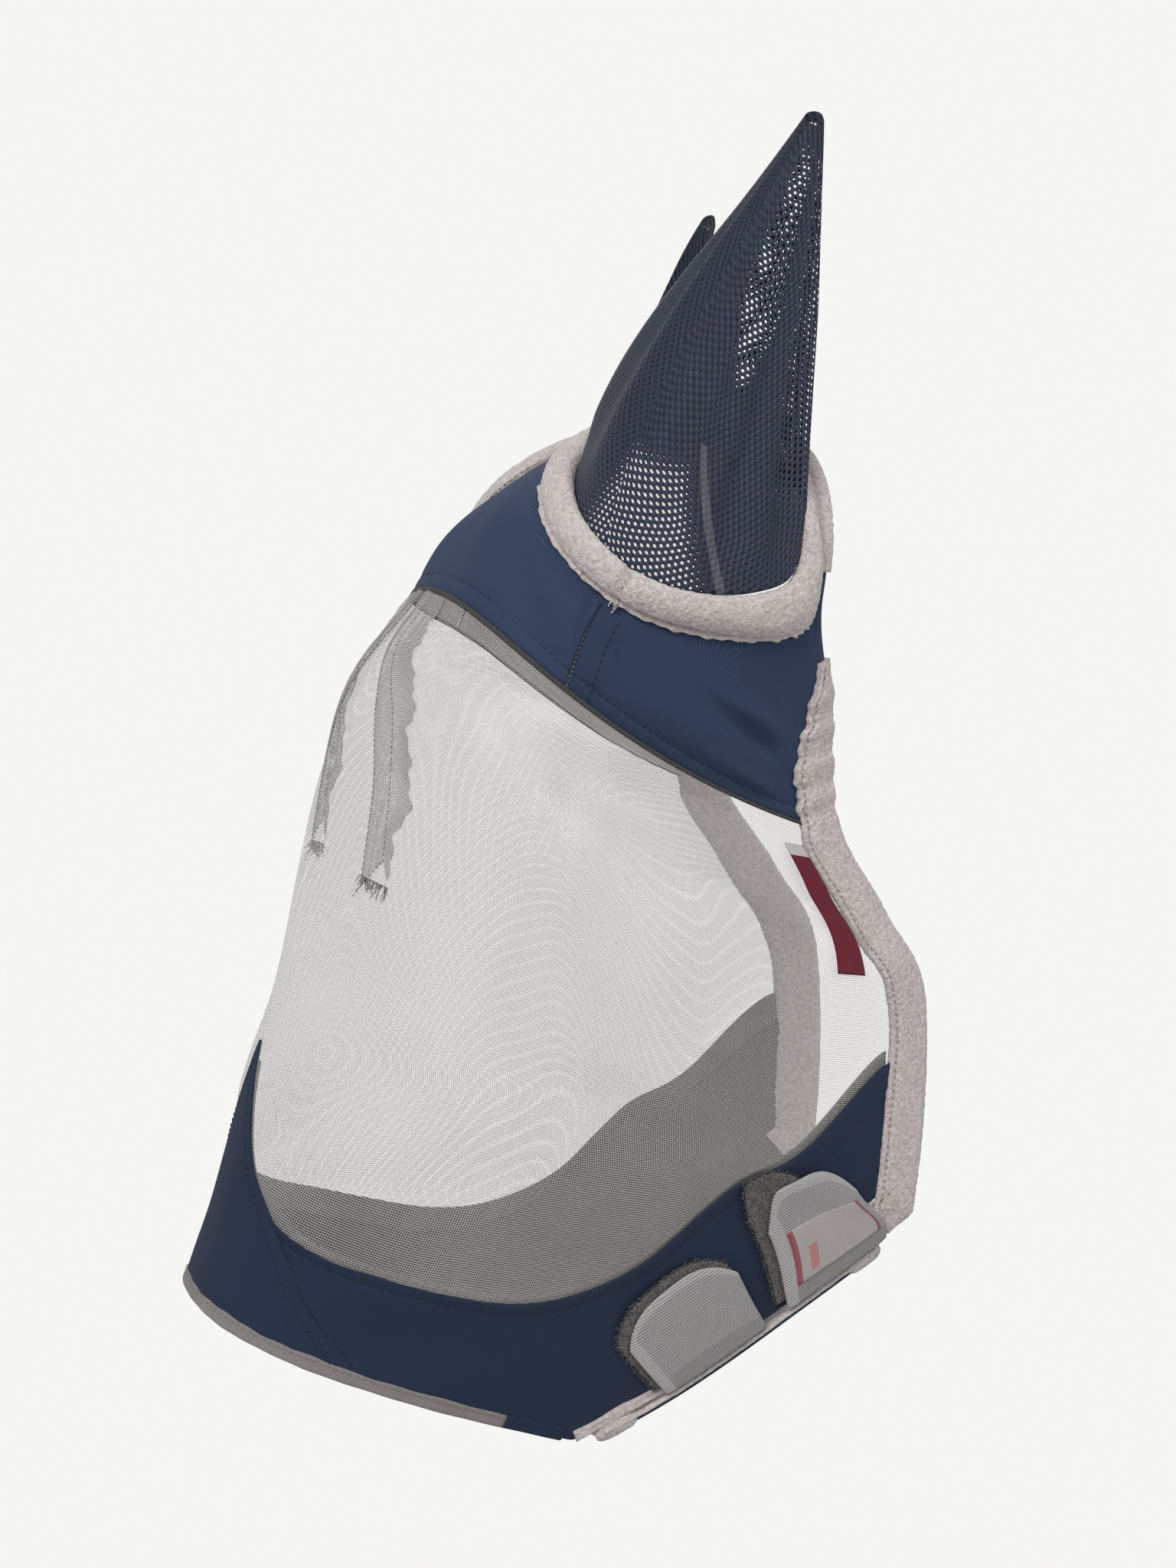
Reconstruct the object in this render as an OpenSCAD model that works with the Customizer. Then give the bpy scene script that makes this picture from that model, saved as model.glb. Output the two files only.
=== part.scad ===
// Horse fly mask with ears: sewn fabric panels over a head shaped space.
// +Z up, the nose points to -X, the left side is -Y. Origin: middle of the brow seam.

/* [Head] */
// Lean of the face line from upright, degrees
head_tilt = 20; // [10:1:35]
// Widens or narrows every panel, 1 as drawn
width_scale = 1.0; // [0.9:0.01:1.1]
// Half width of the rear opening at the jowl
jowl_half = 56; // [45:1:70]

// How far the unpropped right side of the crown sinks
crown_slump = 14; // [0:1:20]

// Rise of the far side of the brow seam above the near side
far_rise = 18; // [0:1:20]

/* [Fabric] */
// Thickness of the navy stretch panels
cloth_thickness = 1.2; // [0.8:0.1:2]
// Thickness of the fine face mesh
mesh_thickness = 0.8; // [0.5:0.1:1.2]
// Thickness of the soft grey linings
lining_thickness = 1.0; // [0.6:0.1:2]
// Thickness of the ear mesh
ear_thickness = 1.3; // [0.8:0.1:2]

/* [Bindings] */
// Width of the fleece binding on the rear edges
rear_binding_width = 22; // [15:1:30]
// Width of the binding over the poll
poll_binding_width = 9; // [8:1:16]
// Height of fleece above the cloth on each face
fleece_loft = 2.4; // [1.5:0.1:4]
// Width of the woven tape on the nose hem
hem_tape_width = 9; // [6:1:14]
// Standing height of the fleece rings round the ears
ring_height = 11; // [6:0.5:14]

/* [Ears] */
// Reach of the left ear tip behind the origin
ear_tip_back = 164; // [130:1:190]
// Height of the left ear tip above the origin
ear_tip_height = 214; // [160:1:250]
// Distance of the left ear tip from the middle
ear_tip_side = 70; // [50:1:110]
// How much lower the right ear tip hangs
right_ear_drop = 30; // [0:1:60]
// How much further out the right ear tip leans
right_ear_lean = 10; // [0:1:40]

/* [Closure] */
// How far the jaw flap sags between the cheeks
flap_sag = 9; // [4:1:20]
// Thickness of the hook tabs
tab_thickness = 1.6; // [1:0.1:3]
// Thickness of the loop pads, pile included
pad_thickness = 1.8; // [1:0.1:3]

/* [Hidden] */

jh = jowl_half;
// hoops across the head, from the poll edge to the nose hem: four control points each,
// as distance down the face, distance back from the face line, half width
hoops = [
  [[-128, 136, 0], [-128, 136, 62], [-100, 140, 102], [-45, 157, 84]],
  [[-100, 62, 0], [-100, 62, 74], [-66, 86, 128], [-13, 176, 80]],
  [[-50, 14, 0], [-50, 14, 90], [-2, 46, 128], [20, 192, 74]],
  [[0, 0, 0], [0, 0, 104], [52, 52, 122], [48, 210, 70]],
  [[42, -14, 0], [42, -14, 108], [78, 66, 132], [78, 250, 65]],
  [[95, -17, 0], [95, -17, 104], [108, 88, 134], [112, 288, jh + 6]],
  [[180, -10, 0], [180, -10, 88], [192, 104, 110], [202, 320, jh + 2]],
  [[235, -8, 0], [235, -8, 76], [238, 100, 98], [226, 317, jh]],
  [[285, -5, 0], [285, -5, 68], [290, 88, 88], [278, 275, jh - 1]],
  [[322, -3, 0], [323, -3, 62], [330, 64, 84], [326, 232, jh - 1]],
  [[350, -3, 0], [352, -3, 60], [358, 54, 80], [366, 188, jh - 1]]];

// lower edge of the face mesh, from the apex over the nose to the rear edge (hoop, side)
mesh_edge = [[6.85, 0], [7.35, 0.05], [7.85, 0.13], [8.3, 0.25], [8.48, 0.39], [8.5, 0.52],
  [8.5, 0.62], [8.45, 0.71], [8.25, 0.77], [7.8, 0.81], [7.15, 0.82], [6.5, 0.84],
  [5.9, 0.89], [5.45, 0.95], [5.3, 1]];
// lower edge of a cheek band: nose hem, corner, jaw line up to the jowl
band_edge = [[10, 0.64], [10, 0.72], [10, 0.81], [10, 0.9], [10, 1], [9.6, 1], [9.15, 1],
  [8.7, 1], [8.3, 1], [7.9, 1], [7.45, 1], [7, 1]];
// side of the nose panel from its apex to the hem
nose_edge = [[6.85, 0.004], [7.35, 0.05], [7.85, 0.13], [8.3, 0.25], [8.87, 0.38],
  [9.44, 0.51], [10, 0.64]];
// hole for an ear
ear_hole = [[2.05, 0.45], [1.95, 0.6], [1.65, 0.73], [1.2, 0.83], [0.7, 0.87], [0.32, 0.8],
  [0.22, 0.6], [0.25, 0.38], [0.5, 0.16], [1.05, 0.08], [1.6, 0.12], [1.95, 0.28]];
hole_mid = [1.13, 0.47];
function hole(k) = hole_mid + 0.94 * (around(ear_hole, k) - hole_mid);

function lerp(a, b, f) = a + (b - a) * f;
function cubic(a, b, c, d, f) =
  b + 0.5 * f * (c - a + f * (2 * a - 5 * b + 4 * c - d + f * (3 * (b - c) + d - a)));
function knot(t, i) = i < 0 ? 2 * t[0] - t[1] :
  i > len(t) - 1 ? 2 * t[len(t) - 1] - t[len(t) - 2] : t[i];
function along(t, x) =
  let(i = min(max(floor(x), 0), len(t) - 2))
  cubic(knot(t, i - 1), knot(t, i), knot(t, i + 1), knot(t, i + 2), x - i);
function straight(t, x) =
  let(i = min(max(floor(x), 0), len(t) - 2))
  lerp(t[i], t[i + 1], x - i);
function around(t, x) =
  let(n = len(t), i = floor(x), f = x - i, k = i + 4 * n)
  cubic(t[(k - 1) % n], t[k % n], t[(k + 1) % n], t[(k + 2) % n], f);
function head(p) = [p[1] * cos(head_tilt) - p[0] * sin(head_tilt), p[2],
  -p[0] * cos(head_tilt) - p[1] * sin(head_tilt)];
function unit(p) = p / norm(p);

function ease(x) = let(t = min(max(x, 0), 1)) t * t * (3 - 2 * t);
// how much of the far rise reaches a point of the far side
function far_share(u, v) = ease(v / 0.15) * exp(-pow((v - 0.6) / 0.27, 2)) *
  (u < 3 ? ease((u - 1.9) / 1.1) : ease((6 - u) / 3));
// a point of the mask: hoop number u and side v, -1 left rear edge, 0 middle, 1 right rear edge
function skin(u, v) =
  let(h = along(hoops, u), w = abs(v), m = 1 - w,
      p = m * m * m * h[0] + 3 * m * m * w * h[1] + 3 * m * w * w * h[2] + w * w * w * h[3],
      b = v > 0 ? min(max((3 - u) / 1.6, 0), 1) : 0, k = crown_slump * b * b * (3 - 2 * b),
      drop = k * 4 * w * m - (v > 0 ? far_rise * far_share(u, v) : 0))
  head([p[0] + drop, p[1] + k * 2 * w * m,
    p[2] * (1 - 0.0115 * k * w) * width_scale * (v < 0 ? -1 : 1)]);
function out(u, v) =
  unit(cross(skin(u, v + 0.01) - skin(u, v - 0.01), skin(u + 0.04, v) - skin(u - 0.04, v)));
function at(q, d) = skin(q[0], q[1]) + d * out(q[0], q[1]);
function lift(g, d) = [for (r = g) [for (q = r) at(q, d)]];
function flip(g) = [for (r = g) [for (j = [len(r) - 1:-1:0]) [r[j][0], -r[j][1]]]];
function back(t) = [for (i = [len(t) - 1:-1:0]) t[i]];
function sided(g, side) = side > 0 ? g : flip(g);

// closed sheet between an outer and an inner grid of points
module slab(a, b) {
  n = len(a);
  m = len(a[0]);
  s = n * m;
  top = [for (i = [0:n - 2]) for (j = [0:m - 2]) for (t = [0, 1])
    let(p = i * m + j) t == 0 ? [p, p + m, p + m + 1] : [p, p + m + 1, p + 1]];
  low = [for (f = top) [f[0] + s, f[2] + s, f[1] + s]];
  rim = concat([for (i = [0:n - 2]) [i * m + m, i * m]],
    [for (i = [0:n - 2]) [i * m + m - 1, i * m + 2 * m - 1]],
    [for (j = [0:m - 2]) [j, j + 1]],
    [for (j = [0:m - 2]) [s - m + j + 1, s - m + j]]);
  wall = [for (e = rim) for (t = [0, 1])
    t == 0 ? [e[0], e[1], e[1] + s] : [e[0], e[1] + s, e[0] + s]];
  polyhedron([for (g = [a, b]) for (r = g) for (q = r) q], concat(top, low, wall));
}
module sheet(g, high, low) {
  slab(lift(g, high), lift(g, low));
}
// profile carried along a row of loops, closed on itself or capped with the given triangles
module sweep(l, ring = false, cap = [], mids = false) {
  n = len(l);
  m = len(l[0]);
  walls = [for (i = [0:n - (ring ? 1 : 2)]) for (j = [0:m - 1]) for (t = [0, 1])
    let(a = i * m + j, b = ((i + 1) % n) * m + j, c = ((i + 1) % n) * m + (j + 1) % m,
        d = i * m + (j + 1) % m) t == 0 ? [a, b, c] : [a, c, d]];
  ends = ring ? [] : mids ?
    concat([for (j = [0:m - 1]) [j, (j + 1) % m, n * m]],
      [for (j = [0:m - 1]) [(n - 1) * m + (j + 1) % m, (n - 1) * m + j, n * m + 1]]) :
    concat(cap, [for (f = cap) [f[2], f[1], f[0]] + (n - 1) * m * [1, 1, 1]]);
  extra = mids ? [centre(l[0]), centre(l[n - 1])] : [];
  polyhedron(concat([for (r = l) for (q = r) q], extra), concat(walls, ends));
}
function centre(l) = [for (q = l) 1] * l / len(l);

// folded binding: nine point profile with a slot for the cloth
slot_cap = [[0, 1, 7], [0, 7, 8], [1, 2, 7], [2, 6, 7], [2, 3, 6], [3, 4, 6], [4, 5, 6]];
function reach(q, e) =
  let(f = [e[1], e[0]] * 0.02, a = at(q, 0) - at(q - 0.02 * e, 0))
  norm(cross(a, unit(at(q + f, 0) - at(q - f, 0)))) / 0.02;
function folded(q, e, wide, loft, deep, lip) =
  let(k = 1 / reach(q, e), i = q - wide * k * e, s = q + 0.3 * k * e)
  [at(i, loft), at(q, loft), at(q + lip * k * e, -deep / 2), at(q, -deep - loft),
   at(i, -deep - loft), at(i, -deep), at(s, -deep), at(s, loft / 4), at(i, loft / 4)];

module paint(c) {
  color(c) children();
}
navy = [0.17, 0.2, 0.28];
grey_mesh = [0.62, 0.61, 0.6, 0.6];
grey = [0.42, 0.41, 0.41];
fleece = [0.68, 0.64, 0.63];
tape = [0.6, 0.56, 0.55];

// ---- face mesh and its seams ----
function mesh_grid() = [for (i = [0:12]) [for (j = [-28:28])
  let(t = abs(j) / 28, e = along(mesh_edge, t * 14), f = i / 12, s = j < 0 ? -1 : 1)
  [lerp(3.02, e[0] - 0.02, f), s * lerp(t, e[1], f)]]];
module face_mesh() {
  paint(grey_mesh) sheet(mesh_grid(), 0, -mesh_thickness);
}
function strip_grid(side) = sided([for (i = [0:2]) [for (j = [7:28])
  let(t = j / 28, e = along(mesh_edge, t * 14), f = i / 2 * 0.07)
  lerp([e[0] - 0.02, e[1]], [3.02, t], 0.07 - f)]], side);
module seam_strip(side) {
  paint(grey) sheet(strip_grid(side), -mesh_thickness - 0.15, -mesh_thickness - 0.75);
}
module seam_strip_left() {
  seam_strip(-1);
}
module seam_strip_right() {
  seam_strip(1);
}
// folded dart standing out of the mesh
dart_line = [[3.06, 0.05], [3.95, 0.085], [4.65, 0.155], [5.15, 0.195], [5.45, 0.205]];
function dart_grid(side) = sided([for (i = [0:12]) [for (j = [0:2])
  along(dart_line, i / 3) + [0, 0.028 * (j - 1)]]], side);
module dart(side) {
  paint(grey) sheet(dart_grid(side), 1, 0.3);
}
module dart_left() {
  dart(-1);
}
module dart_right() {
  dart(1);
}

// ---- nose ----
function nose_grid(low) = [for (i = [0:12]) [for (j = [-8:8])
  let(e = along(nose_edge, i / 2)) [lerp(e[0], 9.98, low * i / 12), e[1] * j / 8]]];
module nose_panel() {
  paint(navy) sheet(nose_grid(0), 0, -cloth_thickness);
}
module nose_lining() {
  paint(grey) sheet([for (i = [1:12]) [for (j = [-8:8])
    let(e = along(nose_edge, i / 2)) [e[0], e[1] * j / 8 * 0.98]]],
    -cloth_thickness - 0.35, -cloth_thickness - 0.35 - lining_thickness);
}

// ---- cheek bands ----
function band_grid(side, a, b) = sided([for (i = [0:8]) [for (j = [0:22])
  let(k = j / 2, t = along(mesh_edge, 3 + k), e = straight(band_edge, k))
  lerp(t, e, lerp(a, b, i / 8))]], side);
function seam_gap(g, side) = [for (r = g) [for (j = [0:len(r) - 1])
  (side > 0 && j == 0) || (side < 0 && j == len(r) - 1) ? r[j] + [0, side * 0.004] : r[j]]];
module cheek_band(side) {
  paint(navy) sheet(seam_gap(band_grid(side, 0, 1), side), 0, -cloth_thickness);
}
module cheek_lining(side) {
  paint(grey) sheet(seam_gap(band_grid(side, 0.04, 0.97), side),
    -cloth_thickness - 0.1, -cloth_thickness - 0.1 - lining_thickness);
}
module cheek_band_left() {
  cheek_band(-1);
}
module cheek_band_right() {
  cheek_band(1);
}
module cheek_lining_left() {
  cheek_lining(-1);
}
module cheek_lining_right() {
  cheek_lining(1);
}

// ---- crown ----
brow_mid = [0, 0.12, 0.2, 0.3, 0.45, 0.75, 1.1, 1.45, 1.8, 2.05, 2.3, 2.65, 3];
function brow_side(w) = w < 1 ? lerp([0, 0.5], hole(6.5), w) :
  w < 10 ? hole(6.5 + (w - 1) / 9 * 6) : lerp(hole(0.5), [3, 0.5], (w - 10) / 2);
function brow_grid() = [for (i = [0:24]) [for (j = [-9:9])
  let(w = i / 2, e = brow_side(w), c = straight(brow_mid, w), t = abs(j) / 9)
  [lerp(c, e[0], t), (j < 0 ? -1 : 1) * e[1] * t]]];
module brow_panel() {
  paint(navy) sheet(brow_grid(), 0, -cloth_thickness);
}
crown_rim = [[3, 0.505], [3, 0.62], [3, 0.74], [3, 0.87], [3, 1], [2.4, 1], [1.7, 1], [1, 1],
  [0.45, 1], [0, 1], [0, 0.86], [0, 0.68], [0, 0.505]];
function crown_grid(side) = sided([for (i = [0:6]) [for (j = [0:24])
  let(k = j / 2) lerp(straight(crown_rim, k), hole(0.5 + k / 2), i / 6)]], -side);
module crown(side) {
  g = crown_grid(side);
  paint(navy) sheet([for (r = g) [for (q = r) [q[0], side * abs(q[1])]]], 0, -cloth_thickness);
}
module crown_left() {
  crown(-1);
}
module crown_right() {
  crown(1);
}

// ---- ear rings and ears ----
function hole_at(k, f, side) =
  let(q = hole_mid + f * (around(ear_hole, side < 0 ? k : -k) - hole_mid)) [q[0], side * q[1]];
module ear_ring(side) {
  paint(fleece) sweep([for (i = [0:47]) let(k = i / 4)
    [at(hole_at(k, 0.76, side), ring_height - 6), at(hole_at(k, 0.76, side), ring_height - 1),
     at(hole_at(k, 0.83, side), ring_height), at(hole_at(k, 0.96, side), ring_height - 5),
     at(hole_at(k, 1, side), 0.3), at(hole_at(k, 0.9, side), 0.3)]], true);
}
module ear_ring_left() {
  ear_ring(-1);
}
module ear_ring_right() {
  ear_ring(1);
}
function ear_base(side, f, d) = [for (i = [0:39]) at(hole_at(i * 0.3, f, side), d)];
function ear_loop(side, tip, h, wall) =
  let(b = ear_base(side, 0.69, ring_height - 4), m = centre(b),
      c = lerp(m, tip, h) + (side < 0 ? [-8, 0, 4] : [26, 0, -8]) * 4 * h * (1 - h) * (1 - h),
      s = 1 - 0.91 * pow(h, side < 0 ? 1.25 : 0.8), r = 42 * s)
  [for (q = b) c + (q - m) * s * (r - wall) / r];
function ear_skirt(side, wall) =
  let(b = ear_base(side, 0.66, ring_height - 14), m = centre(b))
  [for (q = b) m + (q - m) * (42 - wall) / 42];
module ear(side, tip) {
  hs = [0, 0.12, 0.25, 0.38, 0.5, 0.62, 0.74, 0.85, 0.93, 1];
  inner = concat([for (i = [8:-1:0]) ear_loop(side, tip, hs[i], ear_thickness)],
    [ear_skirt(side, ear_thickness)]);
  outer = concat([ear_skirt(side, 0)], [for (h = hs) ear_loop(side, tip, h, 0)]);
  paint([0.2, 0.23, 0.32]) sweep(concat(inner, outer), mids = true);
}
module ear_left() {
  ear(-1, [ear_tip_back, -ear_tip_side, ear_tip_height]);
}
module ear_right() {
  ear(1, [ear_tip_back + 12, ear_tip_side + right_ear_lean, ear_tip_height - right_ear_drop]);
}

// ---- fleece and tape bindings ----
module rear_binding(side) {
  l = [for (i = [0:34]) let(u = lerp(0.55, 7.02, i / 34)) folded([u, side], [0, side],
    rear_binding_width * (0.36 + 0.64 * min((u - 0.55) / 1.2, 1)), fleece_loft, 2.6, 3)];
  paint(fleece) sweep(side > 0 ? l : back(l), cap = slot_cap);
}
module rear_binding_left() {
  rear_binding(-1);
}
module rear_binding_right() {
  rear_binding(1);
}
module poll_binding() {
  paint(fleece) sweep([for (i = [0:36]) folded([0, lerp(-0.87, 0.87, i / 36)], [-1, 0],
    poll_binding_width, fleece_loft, 1.5, 2)], cap = slot_cap);
}
module hem(a, b, n, wide, loft, c) {
  paint(c) sweep([for (i = [0:n]) folded([10, lerp(b, a, i / n)], [1, 0],
    wide, loft, 3, 1)], cap = slot_cap);
}
module hem_tape() {
  hem(-0.885, 0.885, 44, hem_tape_width, 0.9, tape);
}
module hem_keeper_left() {
  hem(-0.98, -0.895, 4, hem_tape_width + 1, 1.1, navy);
}
module hem_keeper_right() {
  hem(0.895, 0.98, 4, hem_tape_width + 1, 1.1, navy);
}

// ---- sewn patches on the left cheek ----
// corners of a patch: low front, low rear, high rear, high front
function quad(c, x, y) = lerp(lerp(c[0], c[1], x), lerp(c[3], c[2], x), y);
function inset(c, a, b, low, high) = [quad(c, a, low), quad(c, b, low), quad(c, b, high),
  quad(c, a, high)];
function patch(c, n, m, bend) = flip([for (i = [0:n]) [for (j = [0:m])
  let(x = j / m) quad(c, x, (1 - i / n) * (1 - bend * pow(abs(2 * x - 1), 3)))]]);
label_box = [[5, 0.89], [4.95, 0.924], [3.36, 0.924], [3.42, 0.894]];
front_tab = [[9.15, 0.998], [8.2, 0.998], [7.4, 0.855], [8.5, 0.85]];
rear_tab = [[8, 0.998], [7.1, 0.998], [5.75, 0.905], [6.9, 0.835]];
module side_label() {
  paint([0.5, 0.12, 0.2]) sheet(patch(label_box, 10, 2, 0), 2.3, 1.3);
}
module loop_pad_front() {
  paint([0.33, 0.32, 0.32]) sheet(patch(inset(front_tab, -0.04, 1, 0.06, 1.05), 8, 10, 0.3),
    0.2 + pad_thickness, 0.2);
}
module loop_pad_rear() {
  paint([0.33, 0.32, 0.32]) sheet(patch(inset(rear_tab, -0.05, 0.64, 0.08, 1.08), 8, 10, 0.3),
    0.2 + pad_thickness, 0.2);
}
tab_low = 0.8 + pad_thickness;
module hook_tab_front() {
  paint([0.56, 0.55, 0.55]) sheet(patch(inset(front_tab, 0.04, 1, 0, 0.94), 10, 14, 0.32),
    tab_low + tab_thickness, tab_low);
}
module hook_tab_rear() {
  paint([0.56, 0.55, 0.55]) sheet(patch(inset(rear_tab, 0.03, 1, 0, 0.96), 10, 14, 0.3),
    tab_low + tab_thickness, tab_low);
}
module tab_label() {
  paint([0.8, 0.78, 0.76]) sheet(patch(inset(rear_tab, 0.12, 0.92, 0.16, 0.6), 6, 8, 0),
    tab_low + tab_thickness + 0.7, tab_low + tab_thickness + 0.1);
}

// ---- flap under the jaw: a runs front to rear, b runs left to right ----
jaw_line = unit(skin(7, 1) - skin(10, 1));
jaw_down = cross([0, 1, 0], jaw_line);
function flap_at(a, b, d) =
  let(p = skin(lerp(9.75, 7.2, a), 1), y = lerp(-(jh + 1.5), jh - 0.8, b))
  [p[0], y, p[2]] + (flap_sag * 4 * b * (1 - b) + d) * jaw_down;
function flap_grid(d) = [for (i = [0:10]) [for (j = [0:12]) flap_at(i / 10, j / 12, d)]];
module jaw_flap() {
  paint(navy) slab(flap_grid(5 + cloth_thickness), flap_grid(5));
}
module jaw_fleece() {
  paint(fleece) slab(flap_grid(4.9), flap_grid(2.2));
}
function flap_fold(b, edge, way) =
  let(i = edge - way * 0.085, s = edge + way * 0.003, o = edge + way * 0.02, h = 5.2 + cloth_thickness)
  [flap_at(i, b, h + 1.5), flap_at(edge, b, h + 1.5), flap_at(o, b, 4),
   flap_at(edge, b, 0.6), flap_at(i, b, 0.6), flap_at(i, b, 2.05), flap_at(s, b, 2.05),
   flap_at(s, b, h), flap_at(i, b, h)];
module jaw_binding_front() {
  paint(fleece) sweep([for (j = [0:16]) flap_fold(j / 16, 0, -1)], cap = slot_cap);
}
module jaw_binding_rear() {
  paint(fleece) sweep([for (j = [16:-1:0]) flap_fold(j / 16, 1, 1)], cap = slot_cap);
}

brow_panel();
crown_left();
crown_right();
ear_ring_left();
ear_ring_right();
ear_left();
ear_right();
poll_binding();
face_mesh();
dart_left();
dart_right();
nose_panel();
nose_lining();
cheek_band_left();
cheek_band_right();
cheek_lining_left();
cheek_lining_right();
seam_strip_left();
seam_strip_right();
rear_binding_left();
rear_binding_right();
hem_tape();
hem_keeper_left();
hem_keeper_right();
side_label();
loop_pad_front();
loop_pad_rear();
jaw_flap();
jaw_fleece();
jaw_binding_front();
jaw_binding_rear();
hook_tab_front();
hook_tab_rear();
tab_label();
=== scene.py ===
# A horse fly mask: sewn panels round a head shaped space, seen in a plain studio.
import math
import bmesh
import bpy
import numpy as np
from mathutils import Matrix, Vector, noise


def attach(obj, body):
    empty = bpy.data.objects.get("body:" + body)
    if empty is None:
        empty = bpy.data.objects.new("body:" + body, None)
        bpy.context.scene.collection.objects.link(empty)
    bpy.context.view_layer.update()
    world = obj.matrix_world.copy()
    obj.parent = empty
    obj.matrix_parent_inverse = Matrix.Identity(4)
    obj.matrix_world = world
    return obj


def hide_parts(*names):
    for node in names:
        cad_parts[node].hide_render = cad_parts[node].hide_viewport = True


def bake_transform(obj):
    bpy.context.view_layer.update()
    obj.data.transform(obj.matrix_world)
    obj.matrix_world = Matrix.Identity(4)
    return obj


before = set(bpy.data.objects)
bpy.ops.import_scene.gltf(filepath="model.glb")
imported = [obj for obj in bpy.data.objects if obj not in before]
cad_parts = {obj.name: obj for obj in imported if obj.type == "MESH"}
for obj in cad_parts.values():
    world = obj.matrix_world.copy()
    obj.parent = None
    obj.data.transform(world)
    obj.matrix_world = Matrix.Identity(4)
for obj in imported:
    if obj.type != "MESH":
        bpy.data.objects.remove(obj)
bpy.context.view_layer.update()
studio = bpy.context.scene


def keep(name, bm, finish):
    """the finished mesh as an object at the origin"""
    mesh = bpy.data.meshes.new(name)
    for face in bm.faces:
        face.smooth = True
    bm.to_mesh(mesh)
    bm.free()
    mesh.materials.append(finish)
    made = bpy.data.objects.new(name, mesh)
    studio.collection.objects.link(made)
    return made


# ---- Studio and camera ----
# The mask hangs in the open, as if worn, above a plain pale floor. A large soft light
# stands high at the nose side, and a weaker one fills the other side.
paper = (0.922, 0.918, 0.908)
floor_below, floor_wide = 0.9, 80
camera_at = Vector((-0.2826, -0.9951, 0.0522))
camera_aim = Vector((0.0798, 0.0006, -0.0967))


def backdrop_glow(tree, kind, seen, given):
    """pale to the camera, weaker as light on the mask"""
    nodes, links = tree.nodes, tree.links
    nodes.clear()
    path = nodes.new("ShaderNodeLightPath")
    strength = nodes.new("ShaderNodeMapRange")
    strength.inputs["To Min"].default_value = given
    strength.inputs["To Max"].default_value = seen
    glow = nodes.new(kind)
    glow.inputs["Color"].default_value = (*paper, 1)
    end = nodes.new("ShaderNodeOutputWorld" if kind.endswith("Background")
                    else "ShaderNodeOutputMaterial")
    links.new(path.outputs["Is Camera Ray"], strength.inputs["Value"])
    links.new(strength.outputs[0], glow.inputs["Strength"])
    links.new(glow.outputs[0], end.inputs["Surface"])


world = bpy.data.worlds.new("studio")
world.use_nodes = True
studio.world = world
backdrop_glow(world.node_tree, "ShaderNodeBackground", 1.0, 0.52)

floor_paint = bpy.data.materials.new("pale_floor")
floor_paint.use_nodes = True
backdrop_glow(floor_paint.node_tree, "ShaderNodeEmission", 1.0, 0.42)
bm = bmesh.new()
bmesh.ops.create_grid(bm, x_segments=1, y_segments=1, size=floor_wide / 2)
bmesh.ops.translate(bm, verts=bm.verts, vec=(0, 0, -floor_below))
keep("floor", bm, floor_paint)


def hang(name, data, place):
    """a lamp or camera turned towards the mask"""
    holder = bpy.data.objects.new(name, data)
    studio.collection.objects.link(holder)
    holder.location = place
    holder.rotation_mode = "QUATERNION"
    holder.rotation_quaternion = (camera_aim - place).to_track_quat("-Z", "Y")
    return holder


def soft_light(name, place, size, power):
    lamp = bpy.data.lights.new(name, "AREA")
    lamp.size = size
    lamp.energy = power
    hang(name, lamp, place)


soft_light("key", Vector((-1.35, -1.5, 1.55)), 1.3, 34)
soft_light("fill", Vector((1.5, -1.6, 0.35)), 1.6, 9)
soft_light("back", Vector((0.9, 1.7, 0.9)), 1.4, 14)

camera = bpy.data.cameras.new("camera")
camera.lens = 50
camera.sensor_width = 36
studio.camera = hang("camera", camera, camera_at)
studio.view_settings.view_transform = "Standard"

# ---- Face net ----
# One piece of fine see-through gauze over the eyes and face, from the brow seam down to
# the nose and cheek bands, cut to the shape of a head and sewn in all round.
head_tilt = math.radians(20)
jowl = 0.056
hands = ((-1, "left"), (1, "right"))
crown_slump = 0.014
far_rise = 0.018
# four points on each hoop over the head, from the poll to the nose hem:
# distance down the face, distance back from the face line, half width
hoops = np.array([
    [[-128, 136, 0], [-128, 136, 62], [-100, 140, 102], [-45, 157, 84]],
    [[-100, 62, 0], [-100, 62, 74], [-66, 86, 128], [-13, 176, 80]],
    [[-50, 14, 0], [-50, 14, 90], [-2, 46, 128], [20, 192, 74]],
    [[0, 0, 0], [0, 0, 104], [52, 52, 122], [48, 210, 70]],
    [[42, -14, 0], [42, -14, 108], [78, 66, 132], [78, 250, 65]],
    [[95, -17, 0], [95, -17, 104], [108, 88, 134], [112, 288, 62]],
    [[180, -10, 0], [180, -10, 88], [192, 104, 110], [202, 320, 58]],
    [[235, -8, 0], [235, -8, 76], [238, 100, 98], [226, 317, 56]],
    [[285, -5, 0], [285, -5, 68], [290, 88, 88], [278, 275, 55]],
    [[322, -3, 0], [323, -3, 62], [330, 64, 84], [326, 232, 55]],
    [[350, -3, 0], [352, -3, 60], [358, 54, 80], [366, 188, 55]],
]) / 1000
# lower edge of the net as (hoop, side), from over the nose to the rear edge
net_edge = np.array([
    (6.85, 0), (7.35, 0.05), (7.85, 0.13), (8.3, 0.25), (8.48, 0.39), (8.5, 0.52),
    (8.5, 0.62), (8.45, 0.71), (8.25, 0.77), (7.8, 0.81), (7.15, 0.82), (6.5, 0.84),
    (5.9, 0.89), (5.45, 0.95), (5.3, 1)])


def lerp(a, b, f):
    return a + (b - a) * f


def smooth(x):
    x = np.clip(x, 0, 1)
    return x * x * (3 - 2 * x)


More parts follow.
